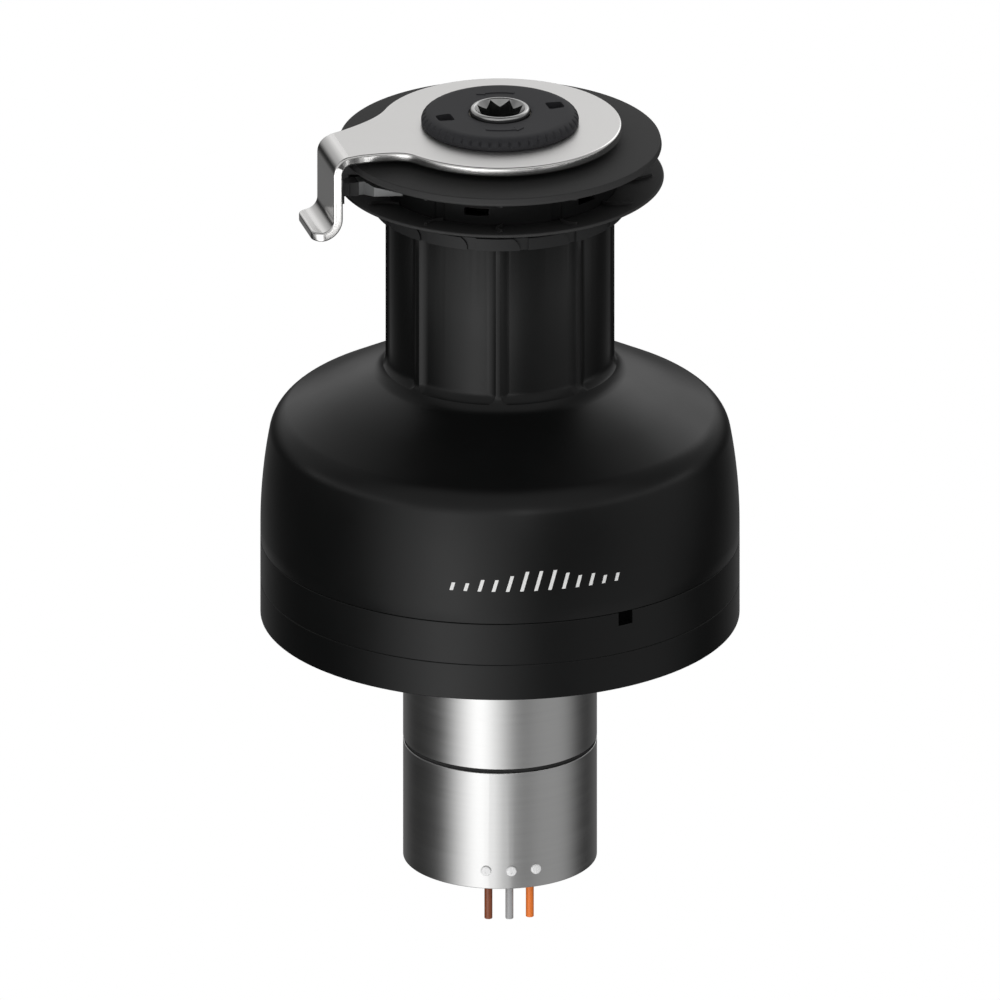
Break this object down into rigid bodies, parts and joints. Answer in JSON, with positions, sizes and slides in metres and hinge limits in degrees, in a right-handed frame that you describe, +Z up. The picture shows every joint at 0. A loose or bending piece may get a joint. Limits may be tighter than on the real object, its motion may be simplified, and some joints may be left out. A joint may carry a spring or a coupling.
{
  "type": "electric self-tailing deck winch",
  "caption": "Electric self-tailing deck winch: ribbed drum and bell on a deck base, rope jaws with feeder arm and handle socket on top, geared motor unit below the deck.",
  "frame": {"origin": "centre of the base's flat deck face, on the drum's axis", "axes": "+Z up along the drum's axis, away from the deck; -Y towards the picture's camera; +X to the camera's right"},
  "size_m": [0.2398, 0.2398, 0.4206],
  "materials": {
    "black_paint": "satin black anodised casting",
    "drum_black": "satin black hard-anodised casting",
    "steel": "machined stainless steel",
    "seal_rubber": "matte black nitrile",
    "cast_alloy": "machined casting",
    "gear_steel": "hobbed gear steel",
    "acetal": "natural acetal",
    "jaw_plastic": "fine-grained glass-filled plastic",
    "cap_plastic": "fine-grained dark plastic",
    "socket_chrome": "satin bright bronze, chromed",
    "arm_stainless": "polished stainless steel",
    "stripper_grey": "grey moulded plastic",
    "can_metal": "brushed along the circumference",
    "core_iron": "laminated iron",
    "copper": "enamelled copper windings",
    "cap_black": "black moulded plastic",
    "screw_white": "plated screw",
    "wire_brown": "brown insulation",
    "wire_grey": "grey insulation",
    "wire_orange": "orange insulation"
  },
  "bodies": {
    "deck_unit": {"base_plate": "black_paint", "base_housing": "black_paint", "base_screws": "steel", "drum_seal": "seal_rubber", "centre_stem": "cast_alloy", "stem_bolts": "steel", "idler_studs": "steel", "thrust_washer": "acetal", "stem_head": "cast_alloy", "stem_head_screws": "steel", "ball_bearings": "steel", "bearing_spacer": "acetal", "handle_bush": "acetal", "arm_spacer": "jaw_plastic", "feeder_arm": "arm_stainless", "stripper": "stripper_grey", "stripper_screw": "steel", "top_cap": "cap_plastic", "gear_case": "can_metal", "gear_case_screws": "steel", "planet_ring": "gear_steel", "motor_flange": "cast_alloy", "can_seal": "seal_rubber", "motor_can": "can_metal", "stator_core": "core_iron", "stator_coils": "copper", "end_cap": "cap_black", "cap_ring": "steel", "wire_grommets": "seal_rubber", "phase_screws": "screw_white", "brown_wire": "wire_brown", "grey_wire": "wire_grey", "orange_wire": "wire_orange"},
    "drum_unit": {"drum": "drum_black", "drum_ring_gear": "gear_steel", "ring_gear_screws": "steel", "jaw_carrier": "jaw_plastic", "carrier_screws": "steel", "jaw_spring": "steel", "upper_jaw": "jaw_plastic", "jaw_screws": "steel"},
    "lower_jaw_unit": {"lower_jaw": "jaw_plastic"},
    "roller_unit": {"bearing_rollers": "steel", "roller_cages": "acetal"},
    "shaft_unit": {"main_shaft": "steel", "sun_gear": "gear_steel", "ratchet_ring": "gear_steel", "handle_shaft": "socket_chrome", "planet_carrier": "cast_alloy", "planet_pins": "steel", "pawl_springs": "steel"},
    "pawl_unit_1": {"pawl_1": "gear_steel"},
    "pawl_unit_2": {"pawl_2": "gear_steel"},
    "idler_unit_1": {"idler_gear_1": "gear_steel"},
    "idler_unit_2": {"idler_gear_2": "gear_steel"},
    "idler_unit_3": {"idler_gear_3": "gear_steel"},
    "planet_unit_1": {"planet_gear_1": "gear_steel"},
    "planet_unit_2": {"planet_gear_2": "gear_steel"},
    "planet_unit_3": {"planet_gear_3": "gear_steel"},
    "rotor_unit": {"rotor": "core_iron"}
  },
  "joints": [
    {"name": "drum_spin", "type": "hinge", "parent": "deck_unit", "child": "drum_unit", "pos_m": [0, 0, 0.12], "axis": [0, 0, 1], "continuous": true},
    {"name": "lower_jaw_slide", "type": "slide", "parent": "drum_unit", "child": "lower_jaw_unit", "axis": [0, 0, 1], "range_m": [-0.0035, 0], "stiffness_N_per_m": 9000, "springref_m": 0.004, "deforming": ["jaw_spring"]},
    {"name": "roller_cage_spin", "type": "hinge", "parent": "deck_unit", "child": "roller_unit", "pos_m": [0, 0, 0.15], "axis": [0, 0, 1], "continuous": true},
    {"name": "main_shaft_spin", "type": "hinge", "parent": "deck_unit", "child": "shaft_unit", "pos_m": [0, 0, 0.1], "axis": [0, 0, 1], "continuous": true},
    {"name": "rotor_spin", "type": "hinge", "parent": "deck_unit", "child": "rotor_unit", "pos_m": [0, 0, -0.09], "axis": [0, 0, 1], "continuous": true},
    {"name": "idler_spin_1", "type": "hinge", "parent": "deck_unit", "child": "idler_unit_1", "pos_m": [0.05625, 0, 0.054], "axis": [0, 0, 1], "continuous": true},
    {"name": "idler_spin_2", "type": "hinge", "parent": "deck_unit", "child": "idler_unit_2", "pos_m": [-0.02813, 0.04871, 0.054], "axis": [0, 0, 1], "continuous": true},
    {"name": "idler_spin_3", "type": "hinge", "parent": "deck_unit", "child": "idler_unit_3", "pos_m": [-0.02813, -0.04871, 0.054], "axis": [0, 0, 1], "continuous": true},
    {"name": "planet_spin_1", "type": "hinge", "parent": "shaft_unit", "child": "planet_unit_1", "pos_m": [0.0225, 0, -0.031], "axis": [0, 0, 1], "continuous": true},
    {"name": "planet_spin_2", "type": "hinge", "parent": "shaft_unit", "child": "planet_unit_2", "pos_m": [-0.01125, 0.01949, -0.031], "axis": [0, 0, 1], "continuous": true},
    {"name": "planet_spin_3", "type": "hinge", "parent": "shaft_unit", "child": "planet_unit_3", "pos_m": [-0.01125, -0.01949, -0.031], "axis": [0, 0, 1], "continuous": true},
    {"name": "pawl_pivot_1", "type": "hinge", "parent": "shaft_unit", "child": "pawl_unit_1", "pos_m": [0.014, 0, 0.204], "axis": [0, 0, 1], "range_deg": [0, 12], "stiffness_Nm_per_rad": 0.05, "springref_deg": -11.46},
    {"name": "pawl_pivot_2", "type": "hinge", "parent": "shaft_unit", "child": "pawl_unit_2", "pos_m": [-0.014, 0, 0.204], "axis": [0, 0, 1], "range_deg": [0, 12], "stiffness_Nm_per_rad": 0.05, "springref_deg": -11.46}
  ],
  "couplings": [
    {"joint": "roller_cage_spin", "follows": "drum_spin", "ratio": 0.54648},
    {"joint": "main_shaft_spin", "follows": "drum_spin", "ratio": -4},
    {"joint": "rotor_spin", "follows": "drum_spin", "ratio": -20},
    {"joint": "idler_spin_1", "follows": "drum_spin", "ratio": 2.6667},
    {"joint": "idler_spin_2", "follows": "drum_spin", "ratio": 2.6667},
    {"joint": "idler_spin_3", "follows": "drum_spin", "ratio": 2.6667},
    {"joint": "planet_spin_1", "follows": "drum_spin", "ratio": 10.667},
    {"joint": "planet_spin_2", "follows": "drum_spin", "ratio": 10.667},
    {"joint": "planet_spin_3", "follows": "drum_spin", "ratio": 10.667}
  ]
}
